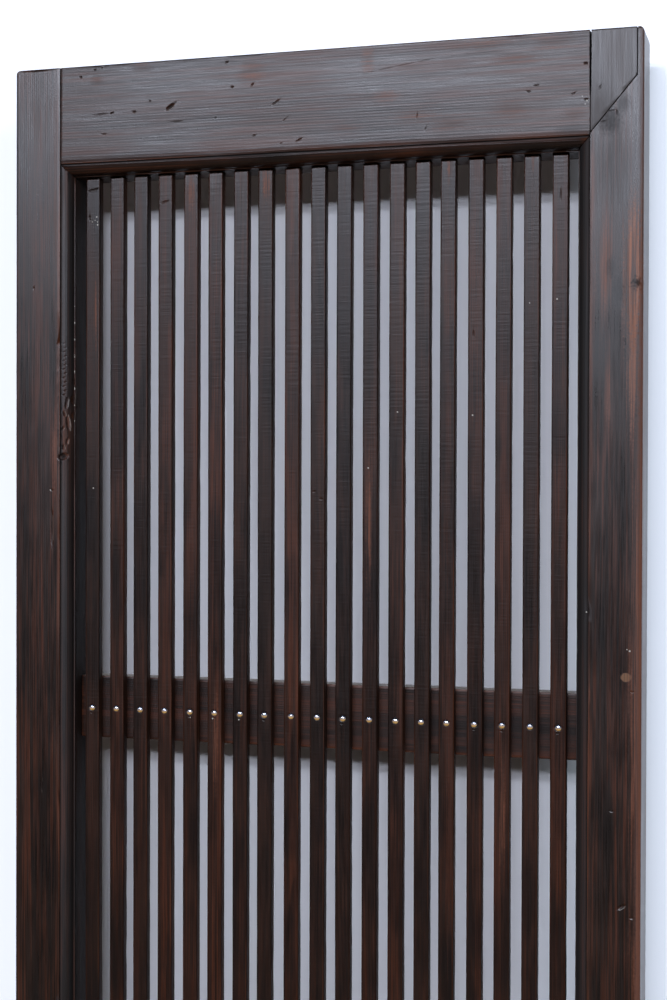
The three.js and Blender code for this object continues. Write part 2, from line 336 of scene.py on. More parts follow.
# The sheen without open fibre, and what roughens it
SMOOTHER = 0.065
ROUGHENING = {"Fibre": 0.08, "Clouds": 0.07, "Streaks": 0.02}
DULL_ROUGHENING = 1.1
DIRT_AND_SHADE_ROUGHENING = 0.65
# Dirt and painted shade are the dark stain, this much darker
DIRT_AND_SHADE_TONE = 0.35
BUMP_DEPTH = 0.35 * MM
# The floor's colour as the leaf sees it, dim and warm
FLOOR_BOUNCE = (0.12, 0.1, 0.07)


# What settings of one kind share
SMALL_LENGTH = {"min": 0.0, "unit": "LENGTH", "precision": 5}
COLOUR = {"subtype": "COLOR", "size": 3, "min": 0.0, "max": 1.0}


class LatticeDoorJoinery(bpy.types.PropertyGroup):
    """Sizes of the worn joinery."""

    arris_rounding: FloatProperty(
        name="Arris rounding",
        description="Width that hands and cloths have worn off each sharp edge",
        default=0.5 * MM, **SMALL_LENGTH,
    )
    unevenness: FloatProperty(
        name="Unevenness",
        description="How far the planed faces dip below true",
        default=0.16 * MM, **SMALL_LENGTH,
    )
    arris_wear: FloatProperty(
        name="Arris wear",
        description="How far the arrises are nibbled back in places",
        default=0.45 * MM, **SMALL_LENGTH,
    )
    slat_bow: FloatProperty(
        name="Slat bow",
        description="Largest sideways bend of a slat between its ends",
        default=0.7 * MM, **SMALL_LENGTH,
    )
    crack_width: FloatProperty(
        name="Crack width",
        description="Opening beside the repair at the top of the right stile",
        default=1.1 * MM, **SMALL_LENGTH,
    )
    crack_length: FloatProperty(
        name="Crack length",
        description="How far the opening runs down from the top",
        default=57 * MM, min=0.0, unit="LENGTH", precision=4,
    )
    nail_sink: FloatProperty(
        name="Nail sink",
        description="How far each nail head is driven into its slat",
        default=0.45 * MM, **SMALL_LENGTH,
    )


class LatticeDoorFinish(bpy.types.PropertyGroup):
    """Colours and sheen of the stained wood and the nails."""

    stain_dark: FloatVectorProperty(
        name="Dark stain", description="Stain where it lies thickest",
        default=(0.0042, 0.003, 0.0025), **COLOUR,
    )
    stain_brown: FloatVectorProperty(
        name="Brown stain", description="Stain over the paler early wood",
        default=(0.0115, 0.005, 0.0026), **COLOUR,
    )
    stain_red: FloatVectorProperty(
        name="Red stain", description="Streaks where the stain is rubbed thin",
        default=(0.052, 0.0128, 0.0042), **COLOUR,
    )
    bare_wood: FloatVectorProperty(
        name="Worn arris", description="Wood showing along rubbed edges",
        default=(0.09, 0.028, 0.012), **COLOUR,
    )
    orange_wood: FloatVectorProperty(
        name="Orange wood", description="Paler figured wood round the knot",
        default=(0.17, 0.058, 0.025), **COLOUR,
    )
    patch_grey: FloatVectorProperty(
        name="Repair", description="Greyer wood of the let-in repair",
        default=(0.021, 0.0155, 0.013), **COLOUR,
    )
    filler: FloatVectorProperty(
        name="Filler", description="Light brown filler in an old hole",
        default=(0.12, 0.052, 0.02), **COLOUR,
    )
    # Pale colour of the painted glints, and of dust with painted light on upward faces
    fleck: FloatVectorProperty(
        name="Fleck", description="Pale specks in the finish",
        default=(0.26, 0.235, 0.2), **COLOUR,
    )
    nail_metal: FloatVectorProperty(
        name="Nail metal", description="Bright metal of the nail heads",
        default=(0.4, 0.47, 0.6), **COLOUR,
    )
    # Painted warm reflection of the floor on the lower half of the nail heads, shown as an amber film
    painted_nail_reflection: FloatVectorProperty(
        name="Nail varnish", description="Amber film on the lower half of the nail heads",
        default=(0.5, 0.28, 0.08), **COLOUR,
    )
    sheen_roughness: FloatProperty(
        name="Sheen roughness", description="Roughness of the rubbed finish",
        default=0.31, min=0.0, max=1.0, subtype="FACTOR",
    )


class LatticeDoorStage(bpy.types.PropertyGroup):
    """Floor, backdrop, lights and camera."""

    floor_size: FloatProperty(
        name="Floor size", description="Side of the pale floor",
        default=6.0, min=1.0, unit="LENGTH",
    )
    wall_size: FloatProperty(
        name="Backdrop size", description="Side of the pale backdrop",
        default=9.0, min=1.0, unit="LENGTH",
    )
    backdrop_gap: FloatProperty(
        name="Backdrop gap", description="From the back of the leaf to the pale backdrop",
        default=0.04, min=0.005, unit="LENGTH",
    )
    backdrop_lean: FloatProperty(
        name="Backdrop lean",
        description="How far the backdrop falls back from the leaf for each metre down",
        default=0.035, min=0.0, max=0.2,
    )
    strip_power: FloatProperty(
        name="Strip light", description="Power of each long soft light high in front",
        default=1230.0, min=0.0, unit="POWER",
    )
    side_power: FloatProperty(
        name="Side light", description="Power of the soft bluish light on the right",
        default=240.0, min=0.0, unit="POWER",
    )
    back_power: FloatProperty(
        name="Back light", description="Power of the soft light behind the leaf",
        default=80.0, min=0.0, unit="POWER",
    )
    surroundings: FloatVectorProperty(
        name="Surroundings", description="Pale surroundings as they are seen",
        default=(0.9, 0.945, 0.975), **COLOUR,
    )
    rear_light: FloatVectorProperty(
        name="Light from behind", description="Soft light on the back of the leaf",
        default=(0.2, 0.2, 0.2), **COLOUR,
    )
    upper_light: FloatVectorProperty(
        name="Light from above", description="Soft light from above and in front",
        default=(0.032, 0.024, 0.014), **COLOUR,
    )
    lower_light: FloatVectorProperty(
        name="Light from below", description="Dim light from below the horizon in front",
        default=(0.02, 0.016, 0.01), **COLOUR,
    )


# Shader nodes

def feed(tree, socket, value):
    """Links a socket to another, or sets its plain value."""
    if isinstance(value, bpy.types.NodeSocket):
        tree.links.new(value, socket)
    elif value is not None:
        socket.default_value = value


def math_node(tree, operation, a, b=None, c=None, clamp=False):
    node = tree.nodes.new("ShaderNodeMath")
    node.operation = operation
    node.use_clamp = clamp
    for socket, value in zip(node.inputs, (a, b, c)):
        feed(tree, socket, value)
    return node.outputs[0]


def vector_node(tree, operation, a, b=None, scale=None):
    node = tree.nodes.new("ShaderNodeVectorMath")
    node.operation = operation
    feed(tree, node.inputs[0], a)
    feed(tree, node.inputs[1], b)
    feed(tree, node.inputs[3], scale)
    return node.outputs[1] if operation in ("LENGTH", "DISTANCE") else node.outputs[0]


def noise_node(tree, vector, stretch, detail=3.0, roughness=0.55, distortion=0.0):
    """Noise on a stretched vector. Its colour output is first, then its value."""
    node = tree.nodes.new("ShaderNodeTexNoise")
    feed(tree, node.inputs["Vector"], vector_node(tree, "MULTIPLY", vector, stretch))
    node.inputs["Scale"].default_value = 1.0
    node.inputs["Detail"].default_value = detail
    node.inputs["Roughness"].default_value = roughness
    node.inputs["Distortion"].default_value = distortion
    return node.outputs["Color"], node.outputs["Fac"]


def remap(tree, value, low, high, out_low=0.0, out_high=1.0):
    node = tree.nodes.new("ShaderNodeMapRange")
    node.interpolation_type = "SMOOTHSTEP"
    for name, given in (("Value", value), ("From Min", low), ("From Max", high),
                        ("To Min", out_low), ("To Max", out_high)):
        feed(tree, node.inputs[name], given)
    return node.outputs["Result"]


def mix_colour(tree, factor, a, b, blend="MIX"):
    node = tree.nodes.new("ShaderNodeMix")
    node.data_type = "RGBA"
    node.blend_type = blend
    feed(tree, node.inputs[0], factor)
    feed(tree, node.inputs[6], a)
    feed(tree, node.inputs[7], b)
    return node.outputs[2]


def opaque(colour):
    return (*colour, 1.0)


def new_group(name, inputs, outputs):
    """A shader node group with named sockets. Returns its tree, inputs and output node."""
    tree = bpy.data.node_groups.new(name, "ShaderNodeTree")
    for socket_name, kind, default in inputs:
        socket = tree.interface.new_socket(socket_name, in_out="INPUT", socket_type=kind)
        socket.default_value = default
    for socket_name, kind in outputs:
        tree.interface.new_socket(socket_name, in_out="OUTPUT", socket_type=kind)
    return tree, tree.nodes.new("NodeGroupInput").outputs, tree.nodes.new("NodeGroupOutput").inputs


def place_group(tree, group, **values):
    node = tree.nodes.new("ShaderNodeGroup")
    node.node_tree = group
    for name, value in values.items():
        feed(tree, node.inputs[name.replace("_", " ").title()], value)
    return node.outputs


def wood_figure_group():
    """Growth rings, streaks, cloudy patches and fibre of a board whose grain runs along Z."""
    tree, given, out = new_group(
        "Wood Figure",
        [("Vector", "NodeSocketVector", (0, 0, 0)), ("Seed", "NodeSocketFloat", 0.0),
         ("Ring Width", "NodeSocketFloat", 0.0024), ("Wander", "NodeSocketFloat", 0.012)],
        [("Rings", "NodeSocketFloat"), ("Streaks", "NodeSocketFloat"),
         ("Clouds", "NodeSocketFloat"), ("Fibre", "NodeSocketFloat"), ("Relief", "NodeSocketFloat")],
    )
    shift = vector_node(tree, "SCALE", SEED_SHIFT, scale=given["Seed"])
    place = vector_node(tree, "ADD", given["Vector"], shift)

    drift, _ = noise_node(tree, place, DRIFT_WAVES, detail=2.0)
    drift = vector_node(tree, "SUBTRACT", drift, (0.5, 0.5, 0.5))
    drift = vector_node(tree, "SCALE", drift, scale=given["Wander"])
    ripple, _ = noise_node(tree, place, RIPPLE_WAVES, detail=2.0)
    ripple = vector_node(tree, "SUBTRACT", ripple, (0.5, 0.5, 0.5))
    ripple = vector_node(tree, "SCALE", ripple, scale=RIPPLE_REACH)
    wandered = vector_node(tree, "ADD", vector_node(tree, "ADD", given["Vector"], drift), ripple)

    heart = vector_node(tree, "ADD", wandered, HEART_OFFSET)
    flattened = vector_node(tree, "MULTIPLY", heart, HEART_LEAN)
    radius = vector_node(tree, "LENGTH", flattened)
    phase = math_node(tree, "FRACT", math_node(tree, "DIVIDE", radius, given["Ring Width"]))
    rise = remap(tree, phase, 0.35, 0.9)
    fall = remap(tree, phase, 0.93, 1.0, 1.0, 0.0)
    rings = math_node(tree, "MULTIPLY", rise, fall)
    _, strength = noise_node(tree, place, RING_WAVES, detail=1.0)
    rings = math_node(tree, "MULTIPLY", rings, remap(tree, strength, 0.35, 0.65, 0.35, 1.0))

    _, broad = noise_node(tree, place, BROAD_STREAK_WAVES, detail=4.0, roughness=0.6, distortion=0.2)
    _, narrow = noise_node(tree, place, NARROW_STREAK_WAVES, detail=2.0)
    streaks = math_node(tree, "MULTIPLY_ADD", narrow, 0.45, math_node(tree, "MULTIPLY", broad, 0.55))
    _, clouds = noise_node(tree, place, CLOUD_WAVES, detail=4.0, roughness=0.6)
    _, fibre = noise_node(tree, place, FIBRE_WAVES, detail=3.0, roughness=0.6)
    relief = math_node(tree, "MULTIPLY_ADD", rings, 0.65, math_node(tree, "MULTIPLY", fibre, 0.45))

    feed(tree, out["Rings"], rings)
    feed(tree, out["Streaks"], remap(tree, streaks, 0.45, 0.6))
    feed(tree, out["Clouds"], remap(tree, clouds, 0.3, 0.7))
    feed(tree, out["Fibre"], remap(tree, fibre, 0.3, 0.7))
    feed(tree, out["Relief"], relief)
    return tree


def spot_group():
    """A soft oval mask round a point, broken up by noise along its rim."""
    tree, given, out = new_group(
        "Spot",
        [("Vector", "NodeSocketVector", (0, 0, 0)), ("Centre", "NodeSocketVector", (0, 0, 0)),
         ("Reach", "NodeSocketVector", (0.01, 0.01, 0.01)), ("Softness", "NodeSocketFloat", 0.5),
         ("Ragged", "NodeSocketFloat", 0.3)],
        [("Mask", "NodeSocketFloat")],
    )
    offset = vector_node(tree, "SUBTRACT", given["Vector"], given["Centre"])
    spread = vector_node(tree, "LENGTH", vector_node(tree, "DIVIDE", offset, given["Reach"]))
    _, rim = noise_node(tree, given["Vector"], RIM_WAVES, detail=2.0)
    rim = math_node(tree, "MULTIPLY", math_node(tree, "SUBTRACT", rim, 0.5), given["Ragged"])
    edge = math_node(tree, "ADD", spread, rim)
    inner = math_node(tree, "SUBTRACT", 1.0, given["Softness"])
    feed(tree, out["Mask"], remap(tree, edge, inner, 1.0, 1.0, 0.0))
    return tree


def shared_group(name, build):
    return bpy.data.node_groups.get(name) or build()


def new_material(name):
    material = bpy.data.materials.new(name)
    material.use_nodes = True
    tree = material.node_tree
    return material, tree, tree.nodes["Principled BSDF"]


def object_place(tree, grain):
    """Object coordinates, turned so that the grain runs along Z."""
    place = tree.nodes.new("ShaderNodeTexCoord").outputs["Object"]
    if grain == "Z":
        return place, place
    turn = tree.nodes.new("ShaderNodeMapping")
    turn.inputs["Rotation"].default_value = (0.0, math.radians(90.0), 0.0)
    feed(tree, turn.inputs["Vector"], place)
    return place, turn.outputs["Vector"]


def attribute(tree, name):
    node = tree.nodes.new("ShaderNodeAttribute")
    node.attribute_name = name
    return node.outputs["Fac"]


def wood_material(name):
    """Stained wood: rings, streaks and clouds of stain, rubbed arrises and open grain."""
    look = WOOD_LOOKS[name]
    finish = bpy.context.scene.lattice_door_finish
    material, tree, shader = new_material(name)
    place, along = object_place(tree, look.grain)
    seed = attribute(tree, "piece_seed")
    figure = place_group(tree, shared_group("Wood Figure", wood_figure_group), vector=along,
                         seed=seed, ring_width=look.ring * MM, wander=look.wander)

    tone = tree.nodes.new("ShaderNodeTexWhiteNoise")
    tone.noise_dimensions = "1D"
    feed(tree, tone.inputs["W"], seed)
    warmth = math_node(tree, "MULTIPLY_ADD", math_node(tree, "SUBTRACT", tone.outputs["Value"], 0.5),
                       look.tone_spread, look.red)

    body = getattr(finish, look.body)
    colour = mix_colour(tree, figure["Clouds"], opaque(finish.stain_dark), opaque(body))
    warmth = math_node(tree, "MULTIPLY", warmth,
                       remap(tree, figure["Clouds"], 0.0, 1.0, *CLOUD_WARMTH))
    streaks = math_node(tree, "MULTIPLY_ADD", figure["Streaks"], look.contrast,
                        EVEN_STREAK * (1.0 - look.contrast))
    redness = math_node(tree, "MULTIPLY", streaks, warmth, clamp=True)
    colour = mix_colour(tree, redness, colour, opaque(finish.stain_red))
    dull = 0.0
    for spot in look.spots:
        mask = place_group(tree, shared_group("Spot", spot_group), vector=place,
                           centre=(spot.x * MM, look.front, LEAF_TOP - spot.below * MM),
                           reach=(spot.wide * MM, spot.deep * MM, spot.high * MM),
                           softness=spot.softness, ragged=spot.ragged)["Mask"]
        dull = math_node(tree, "MULTIPLY_ADD", mask, spot.dull, dull)
        mask = math_node(tree, "MULTIPLY", mask, spot.strength)
        if spot.grained:
            mask = math_node(tree, "MULTIPLY", mask,
                             remap(tree, figure["Streaks"], 0.0, 1.0, *STREAK_BREAK))
            mask = math_node(tree, "MULTIPLY", mask,
                             remap(tree, figure["Fibre"], 0.0, 0.8, *FIBRE_BREAK), clamp=True)
        colour = mix_colour(tree, mask, colour, opaque(getattr(finish, spot.colour)))
    shade = math_node(tree, "MULTIPLY_ADD", figure["Rings"], -RING_SHADE, 1.0)
    shade = math_node(tree, "MULTIPLY", shade, remap(tree, figure["Fibre"], 0.0, 0.6, 0.8, 1.0))
    colour = mix_colour(tree, 1.0, colour, shade, blend="MULTIPLY")
    wear = math_node(tree, "MULTIPLY", attribute(tree, "wear"),
                     remap(tree, figure["Streaks"], 0.1, 0.8, 0.3 * look.rub, look.rub), clamp=True)
    colour = mix_colour(tree, wear, colour, opaque(finish.bare_wood))
    # Dirt in the joints, and painted shade in dents, grooves and side faces, as a darker stain
    dirt = attribute(tree, "dirt")
    colour = mix_colour(tree, dirt, colour, opaque(tuple(DIRT_AND_SHADE_TONE * c for c in finish.stain_dark)))
    # Painted glints, and dust with painted light, in a pale colour
    colour = mix_colour(tree, attribute(tree, "fleck"), colour, opaque(finish.fleck))
    feed(tree, shader.inputs["Base Color"], colour)

    roughness = finish.sheen_roughness + look.rougher - SMOOTHER
    parts = [(figure[part], amount) for part, amount in ROUGHENING.items()]
    for part, amount in (*parts, (dull, DULL_ROUGHENING), (dirt, DIRT_AND_SHADE_ROUGHENING)):
        roughness = math_node(tree, "MULTIPLY_ADD", part, amount, roughness, clamp=True)
    feed(tree, shader.inputs["Roughness"], roughness)
    shader.inputs["Specular IOR Level"].default_value = look.specular

    bump = tree.nodes.new("ShaderNodeBump")
    bump.inputs["Strength"].default_value = look.bump
    bump.inputs["Distance"].default_value = BUMP_DEPTH
    _, saw = noise_node(tree, along, SAW_WAVES, detail=1.0)
    _, swell = noise_node(tree, along, SWELL_WAVES, detail=2.0)
    height = math_node(tree, "MULTIPLY_ADD", saw, look.saw, figure["Relief"])
    feed(tree, bump.inputs["Height"], math_node(tree, "MULTIPLY_ADD", swell, look.swell, height))
    feed(tree, shader.inputs["Normal"], bump.outputs["Normal"])
    return material


def nail_material():
    """Bright nail metal, with a painted warm reflection low down shown as an amber film, duller where
    stain has caught it.
    """
    finish = bpy.context.scene.lattice_door_finish
    material, tree, shader = new_material("Nail Metal")
    place = tree.nodes.new("ShaderNodeTexCoord").outputs["Object"]
    _, film = noise_node(tree, place, FILM_WAVES, detail=3.0)
    stain = remap(tree, film, 0.55, 0.75, 0.0, 0.6)
    # Painted warm reflection on the lower half of the head, made non-metal so that the lamps light it
    warm_reflection = attribute(tree, "dirt")
    metal = mix_colour(tree, warm_reflection, opaque(finish.nail_metal), opaque(finish.painted_nail_reflection))
    feed(tree, shader.inputs["Base Color"], mix_colour(tree, stain, metal, opaque(finish.bare_wood)))
    feed(tree, shader.inputs["Roughness"], remap(tree, film, 0.3, 0.8, 0.16, 0.38))
    feed(tree, shader.inputs["Metallic"], math_node(tree, "MULTIPLY_ADD", warm_reflection, -0.85, 1.0))
    return material


def shared_material(name):
    """The finish of that name, made the first time it is asked for."""
    found = bpy.data.materials.get(name)
    if found:
        return found
    return nail_material() if name == "Nail Metal" else wood_material(name)


# Wood in mesh

SHARP = math.radians(30.0)
ARRIS = math.radians(20.0)
FLAT = math.radians(0.6)
CREASE = math.radians(38.0)
WELD = 0.004 * MM
# A face looks forward when its normal's y is below this
FORWARD = -0.15
# Step and margin of the fine mesh round a mark
FINE = 0.6 * MM
# Cuts across a member start this far from its ends
CUT_MARGIN = 3 * MM
# Marks wider than this, in mm, have no painted highlight on their rim
WIDE_MARK = 6.0
# How bright the painted highlight on a dent's lower rim and how dark the painted shade in its bottom
# are for each mm of depth, and at most
RIM_HIGHLIGHT, BRIGHTEST_RIM_HIGHLIGHT = 0.22, 0.3
DENT_SHADE, DARKEST_DENT_SHADE = 0.34, 0.8
# Painted shade on the moulding of a stile: its steep side, and the rest on the left and the right
# stile
STEEP_MOULDING_SHADE = 0.75
LEFT_MOULDING_SHADE = 0.25
RIGHT_MOULDING_SHADE = 0.5
# How far the wear of an arris counts on the moulding
MOULDING_WEAR = 0.55
# Painted shade on the narrow side faces of stiles and of slats
STILE_SIDE_SHADE = 0.6
SLAT_SIDE_SHADE = 0.35
TIGHT_SEAM_DIRT = 0.45
# Pale dust and painted light on upward faces
DUST_AND_LIGHT = 0.3
# The quirk: how far from its line its painted shade lies, and between which depths
QUIRK_REACH = 1.2 * MM
QUIRK_TOP = 0.5 * MM
QUIRK_BOTTOM = 2.5 * MM
SEAM_REACH = 0.8 * MM
# The crack: how far beside it the wood gives, and the length over which it closes
CRACK_REACH = 4 * MM
CRACK_CLOSING = 12 * MM
# Noises in the surface, in waves per metre
DIP_WAVES = 18.0
NIBBLE_WAVES = 140.0
CRACK_WAVES = 260.0
# A piece's place in those noises, for each unit of its seed
SEED_STEPS = (3.1, 1.7, 0.9)

# What a piece's vertices hold for its material: rubbed wood; dirt together with painted shade and, on
# the nails, a painted reflection; painted glints and pale dust; and its own seed
LAYERS = ("wear", "dirt", "fleck", "piece_seed")


def add_layers(bm):
    for name in LAYERS:
        bm.verts.layers.float.new(name)


def clean_copy(node):
    """A CAD node's shape as one shell, with its flat faces whole."""
    bm = bmesh.new()
    bm.from_mesh(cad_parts[node].data)
    add_layers(bm)
    bmesh.ops.remove_doubles(bm, verts=bm.verts, dist=WELD)
    bmesh.ops.dissolve_limit(bm, angle_limit=FLAT, use_dissolve_boundaries=False,
                             verts=bm.verts, edges=bm.edges, delimit=set())
    return bm


def front_point(x, below):
    """A point on the leaf's front face, from mm."""
    return Vector((x * MM, FRONT_Y, LEAF_TOP - below * MM))


def ease_edges(bm, width):
    """Rounds every sharp edge."""
    sharp = [e for e in bm.edges if len(e.link_faces) == 2 and e.calc_face_angle(0.0) > SHARP]
    bmesh.ops.bevel(bm, geom=sharp, offset=width, offset_type="OFFSET", segments=2,
                    profile=0.5, affect="EDGES", clamp_overlap=True, material=-1)


def mark_wear(bm):
    """Marks the rounded arrises as worn."""
    wear = bm.verts.layers.float["wear"]
    bm.normal_update()
    for vert in bm.verts:
        turned = any(edge.calc_face_angle(0.0) > ARRIS for edge in vert.link_edges
                     if len(edge.link_faces) == 2)
        vert[wear] = 1.0 if turned else 0.0


def cut_across(bm, axis, places):
    """Cuts the faces along planes square to an axis, so that they can be shaped."""
    normal = Vector((axis == "X", axis == "Y", axis == "Z"))
    for place in places:
        geometry = bm.verts[:] + bm.edges[:] + bm.faces[:]
        bmesh.ops.bisect_plane(bm, geom=geometry, dist=WELD, plane_co=normal * place, plane_no=normal)


def even_places(low, high, step, margin=CUT_MARGIN):
    """Places about a step apart, with one a margin in from each end."""
    inner = high - low - 2 * margin
    count = max(1, round(inner / step))
    return [low + margin + inner * i / count for i in range(count + 1)]


def reaches_window(face, centre, along, across, half_length, half_width):
    """Whether a front face reaches into a turned window round a point."""
    if face.normal.y > FORWARD:
        return False
    offsets = [vert.co - centre for vert in face.verts]
    lengths = [offset.dot(along) for offset in offsets]
    widths = [offset.dot(across) for offset in offsets]
    return (min(lengths) < half_length and max(lengths) > -half_length
            and min(widths) < half_width and max(widths) > -half_width)


def refine_round(bm, mark):
    """A fine grid of faces on the front of a piece, round one mark and turned with it."""
    centre = front_point(mark.x, mark.below)
    turn = math.radians(mark.turn)
    along = Vector((math.cos(turn), 0.0, math.sin(turn)))
    across = Vector((-math.sin(turn), 0.0, math.cos(turn)))
    half_length = 0.5 * mark.length * MM + FINE
    half_width = 0.5 * mark.width * MM + FINE
    window = (centre, along, across, half_length, half_width)
    faces = [face for face in bm.faces if reaches_window(face, *window)]
    for direction, half, count in (
        (across, half_width, max(6, round(2 * half_width / FINE))),
        (along, half_length, min(60, max(6, round(2 * half_length / MM)))),
    ):
        for i in range(count + 1):
            edges = {edge for face in faces for edge in face.edges}
            verts = {vert for face in faces for vert in face.verts}
            place = centre + direction * (half * (2.0 * i / count - 1.0))
            made = bmesh.ops.bisect_plane(bm, geom=[*verts, *edges, *faces], dist=WELD,
                                          plane_co=place, plane_no=direction)
            faces = [part for part in made["geom"] if isinstance(part, bmesh.types.BMFace)]
            for face in faces:
                face.normal_update()
            faces = [face for face in faces if reaches_window(face, *window)]


def press_mark(bm, mark):
    """Presses one dent into the front of a piece, paints shade into its bottom and a highlight along
    its lower rim.
    """
    dirt = bm.verts.layers.float["dirt"]
    glint = bm.verts.layers.float["fleck"]
    bm.normal_update()
    centre = front_point(mark.x, mark.below)
    turn = math.radians(mark.turn)
    for vert in bm.verts:
        if vert.normal.y > FORWARD:
            continue
        dx = vert.co.x - centre.x
        dz = vert.co.z - centre.z
        along = (dx * math.cos(turn) + dz * math.sin(turn)) / (0.5 * mark.length * MM)
        across = (dz * math.cos(turn) - dx * math.sin(turn)) / (0.5 * mark.width * MM)
        rim = along * along + across * across
        # Painted highlight along the lower rim of a narrow dent
        if across < -0.6 and 0.8 < rim < 1.4 and mark.width < WIDE_MARK:
            vert[glint] = max(vert[glint], min(BRIGHTEST_RIM_HIGHLIGHT, RIM_HIGHLIGHT * mark.depth))
        if rim < 1.0:
            share = (1.0 - rim) ** 0.8
            vert.co -= vert.normal * (mark.depth * MM * share)
            # Painted shade in the bottom of the dent
            vert[dirt] = max(vert[dirt], min(DARKEST_DENT_SHADE, DENT_SHADE * mark.depth) * share ** 2)


def add_painted_glints(bm, painted_glints):
    """Paints pale specks on the front as glints."""
    pale = bm.verts.layers.float["fleck"]
    for x, below, size in painted_glints:
        centre = front_point(x, below)
        for vert in bm.verts:
            reach = math.hypot(vert.co.x - centre.x, vert.co.z - centre.z)
            if reach < 0.5 * size * MM and vert.normal.y < -0.4:
                # Painted glint
                vert[pale] = 1.0


def shade_sides(bm, reach_x, amount):
    """Paints shade on the narrow side faces between the members, and makes them duller."""
    dirt = bm.verts.layers.float["dirt"]
    bm.normal_update()
    for vert in bm.verts:
        if abs(vert.co.x) < reach_x and abs(vert.normal.x) > 0.9:
            # Painted shade on a side face
            vert[dirt] = max(vert[dirt], amount)


def shade_quirk(bm, axis, line):
    """Paints shade into the narrow groove beside a moulding."""
    dirt = bm.verts.layers.float["dirt"]
    for vert in bm.verts:
        place = abs(vert.co.x) if axis == "X" else vert.co.z
        depth = vert.co.y - FRONT_Y
        if abs(place - line) < QUIRK_REACH and QUIRK_TOP < depth < QUIRK_BOTTOM:
            # Painted shade fills the groove
            vert[dirt] = 1.0


def shade_moulding(bm):
    """Paints shade on a stile's moulding, darkest on its steep inner side, and wears its arrises less.
    """
    dirt = bm.verts.layers.float["dirt"]
    wear = bm.verts.layers.float["wear"]
    for vert in bm.verts:
        on_moulding = STILE_INNER_X - MM < abs(vert.co.x) < SHOULDER_X - MM and vert.normal.y < -0.1
        if on_moulding:
            # Painted shade on the moulding, darker on the right stile and darkest on the steep side
            face_shade = LEFT_MOULDING_SHADE if vert.co.x < 0.0 else RIGHT_MOULDING_SHADE
            vert[dirt] = max(vert[dirt], STEEP_MOULDING_SHADE if abs(vert.normal.x) > 0.55 else face_shade)
            vert[wear] *= MOULDING_WEAR


def inside(place, low, high, margin):
    return all(l - margin < c < h + margin for l, c, h in zip(low, place, high))


def darken_seams(bm):
    """The arrises of the joints hold dirt and don't wear. Below the crack its joint is tight."""
    dirt = bm.verts.layers.float["dirt"]
    wear = bm.verts.layers.float["wear"]
    crack_end = LEAF_TOP - bpy.context.scene.lattice_door_joinery.crack_length
    for vert in bm.verts:
        if vert[wear] > 0.5 and any(inside(vert.co, low, high, SEAM_REACH) for low, high in SEAMS):
            vert[wear] = 0.0
            depth = vert.co.y - FRONT_Y
            tight = abs(vert.co.x - SHOULDER_X) < MM and PATCH_LOW.z + 2 * MM < vert.co.z < crack_end
            if tight and depth < MM:
                vert.co.y = FRONT_Y + 0.25 * depth
            if depth > 0.1 * MM:
                vert[dirt] = TIGHT_SEAM_DIRT if tight else 1.0


def roughen(bm, seed):
    """Faces dip a little below true and arrises are nibbled back."""
    joinery = bpy.context.scene.lattice_door_joinery
    wear = bm.verts.layers.float["wear"]
    bm.normal_update()
    offset = Vector([seed * step for step in SEED_STEPS])
    for vert in bm.verts:
        slow = noise.noise(vert.co * DIP_WAVES + offset)
        dip = joinery.unevenness * (0.5 + 0.5 * slow)
        if vert[wear] > 0.5:
            quick = noise.noise(vert.co * NIBBLE_WAVES + offset)
            dip += joinery.arris_wear * max(0.0, quick) ** 1.5 * 1.6
        vert.co -= vert.normal * dip


def finish_piece(bm, name, nodes, material, seed):
    """Turns a bmesh into a piece that stands for CAD nodes and rides on the leaf."""
    seed_layer = bm.verts.layers.float["piece_seed"]
    for vert in bm.verts:
        vert[seed_layer] = seed
    for face in bm.faces:
        face.smooth = True
    mesh = bpy.data.meshes.new(name)
    bm.to_mesh(mesh)
    bm.free()
    mesh.set_sharp_from_angle(angle=CREASE)
    mesh.materials.append(shared_material(material))
    piece = bpy.data.objects.new(name, mesh)
    bpy.context.scene.collection.objects.link(piece)
    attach(piece, "root")
    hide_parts(*nodes)
    return piece


def dress_member(node, marks, places, material, seed, reshape=None):
    """A wooden piece: eased, cut fine enough to shape, soiled at its joints, given painted glints,
    roughened, and dented with painted shade and highlights.
    """
    painted_glints = PAINTED_GLINTS.get(node, [])
    bm = clean_copy(node)
    ease_edges(bm, bpy.context.scene.lattice_door_joinery.arris_rounding)
    for axis, positions in places.items():
        cut_across(bm, axis, positions)
    for mark in marks + [Mark(x, below, size, size, 0, 0) for x, below, size in painted_glints]:
        refine_round(bm, mark)
    mark_wear(bm)
    darken_seams(bm)
    add_painted_glints(bm, painted_glints)
    roughen(bm, seed)
    for mark in marks:
        press_mark(bm, mark)
    if reshape:
        reshape(bm)
    return finish_piece(bm, node + "_worn", [node], material, seed)


def open_crack(bm, side):
    """Parts the joint beside the repair from the top down, closing where it ends."""
    joinery = bpy.context.scene.lattice_door_joinery
    dirt = bm.verts.layers.float["dirt"]
    for vert in bm.verts:
        below = LEAF_TOP - vert.co.z
        on_joint = abs(vert.co.x - SHOULDER_X) < CRACK_REACH and below < joinery.crack_length
        if on_joint and vert.co.y < PATCH_HIGH.y + MM:
            if vert.co.y > FRONT_Y + 0.8 * MM and abs(vert.co.x - SHOULDER_X) < MM:
                vert[dirt] = 1.0
            taper = min(1.0, (joinery.crack_length - below) / CRACK_CLOSING)
            ragged = 0.5 + 1.3 * abs(noise.noise(Vector((side, 0.0, vert.co.z * CRACK_WAVES))))
            hold = 1.0 - abs(vert.co.x - SHOULDER_X) / CRACK_REACH
            vert.co.x += side * 0.5 * joinery.crack_width * taper * ragged * hold


# One operator for each piece or group of like pieces

